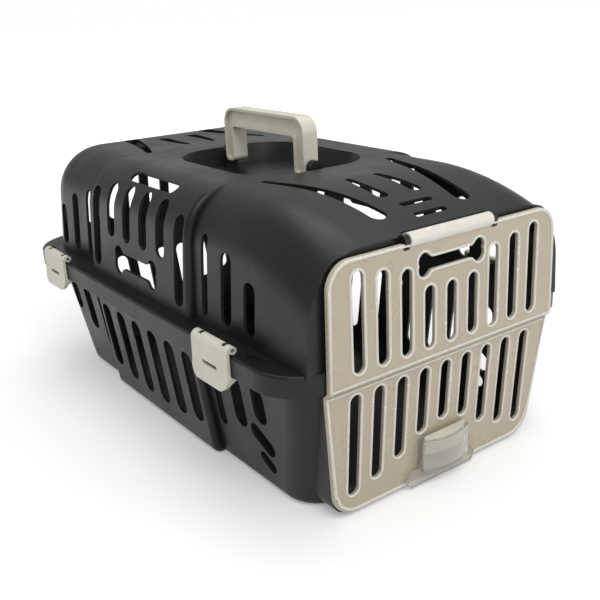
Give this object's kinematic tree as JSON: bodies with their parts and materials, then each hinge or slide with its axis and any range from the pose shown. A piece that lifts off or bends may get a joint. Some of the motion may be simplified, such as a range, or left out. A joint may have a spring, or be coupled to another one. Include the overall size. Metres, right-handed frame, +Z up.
{
  "type": "pet carrier",
  "caption": "Hard plastic carrier for a small pet: slotted two-part shell, slotted top-hinged front door with a push latch, side clips and a folding handle.",
  "frame": {"origin": "centre of the overall box on the floor plane, under the middle of the carrier", "axes": "+Z up, -Y out through the door, +X to the right of someone who faces away from the door's outside (length along Y)"},
  "size_m": [0.3268, 0.5095, 0.284],
  "materials": {
    "black_tray": "satin",
    "black_lid": "satin",
    "door_tan": "satin",
    "door_milky": "gloss",
    "latch_clear": "gloss",
    "cream": "satin",
    "spring_steel": "satin",
    "pin_plastic": "satin"
  },
  "bodies": {
    "shell": {"lower_shell": "black_tray", "upper_shell": "black_lid", "door_hinge_pin": "pin_plastic", "handle_pin_front": "pin_plastic", "handle_pin_rear": "pin_plastic", "clip_front_left_pin": "pin_plastic", "clip_rear_left_pin": "pin_plastic", "clip_front_right_pin": "pin_plastic", "clip_rear_right_pin": "pin_plastic"},
    "door": {"door_panel": "door_tan", "door_hinge_cap": "door_milky", "latch_housing": "latch_clear", "latch_spring": "spring_steel"},
    "button": {"latch_button": "cream"},
    "handle": {"carry_handle": "cream"},
    "clip_front_left_body": {"clip_front_left": "cream"},
    "clip_rear_left_body": {"clip_rear_left": "cream"},
    "clip_front_right_body": {"clip_front_right": "cream"},
    "clip_rear_right_body": {"clip_rear_right": "cream"}
  },
  "joints": [
    {"name": "door_hinge", "type": "hinge", "parent": "shell", "child": "door", "pos_m": [0, -0.24545, 0.215], "axis": [-1, 0, 0], "range_deg": [0, 110]},
    {"name": "latch_press", "type": "slide", "parent": "door", "child": "button", "axis": [0, 0, -1], "range_m": [0, 0.005], "stiffness_N_per_m": 350, "springref_m": -0.002, "deforming": ["latch_spring"]},
    {"name": "handle_fold", "type": "hinge", "parent": "shell", "child": "handle", "pos_m": [0, -0.01025, 0.24], "axis": [0, -1, 0], "range_deg": [0, 88]},
    {"name": "clip_front_left_swing", "type": "hinge", "parent": "shell", "child": "clip_front_left_body", "pos_m": [-0.155, -0.14975, 0.1376], "axis": [0, 1, 0], "range_deg": [0, 95]},
    {"name": "clip_rear_left_swing", "type": "hinge", "parent": "shell", "child": "clip_rear_left_body", "pos_m": [-0.155, 0.16825, 0.1376], "axis": [0, 1, 0], "range_deg": [0, 95]},
    {"name": "clip_front_right_swing", "type": "hinge", "parent": "shell", "child": "clip_front_right_body", "pos_m": [0.155, -0.14975, 0.1376], "axis": [0, -1, 0], "range_deg": [0, 95]},
    {"name": "clip_rear_right_swing", "type": "hinge", "parent": "shell", "child": "clip_rear_right_body", "pos_m": [0.155, 0.16825, 0.1376], "axis": [0, -1, 0], "range_deg": [0, 95]}
  ]
}
